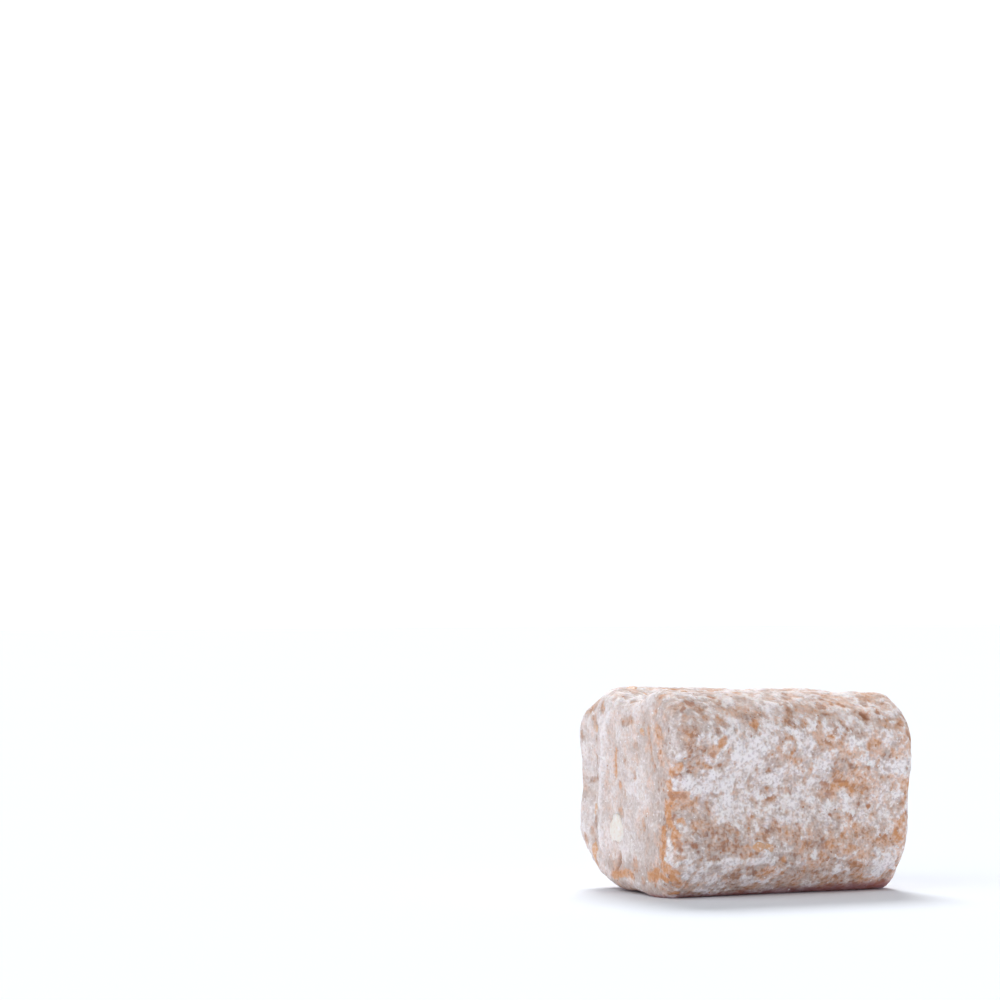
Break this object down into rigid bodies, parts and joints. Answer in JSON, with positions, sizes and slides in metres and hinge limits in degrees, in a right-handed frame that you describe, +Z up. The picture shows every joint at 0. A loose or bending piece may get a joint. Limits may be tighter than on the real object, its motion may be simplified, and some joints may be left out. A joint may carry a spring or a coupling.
{
  "type": "sugar-dusted nut chocolate truffle",
  "caption": "Whole bar-shaped truffle of nut mass with a four-lobed section and wire-cut ends, dusted all over with fine sugar, lying on its side.",
  "frame": {"origin": "under the middle of the bar, on the surface that it lies on", "axes": "+X along the bar towards its right end, +Y to the back, +Z up"},
  "size_m": [0.0292, 0.0218, 0.0211],
  "materials": {
    "sugared_nut_mass": "tan nut mass under a thin, uneven dusting of white sugar, matt"
  },
  "bodies": {
    "root": {"truffle": "sugared_nut_mass"}
  },
  "joints": []
}
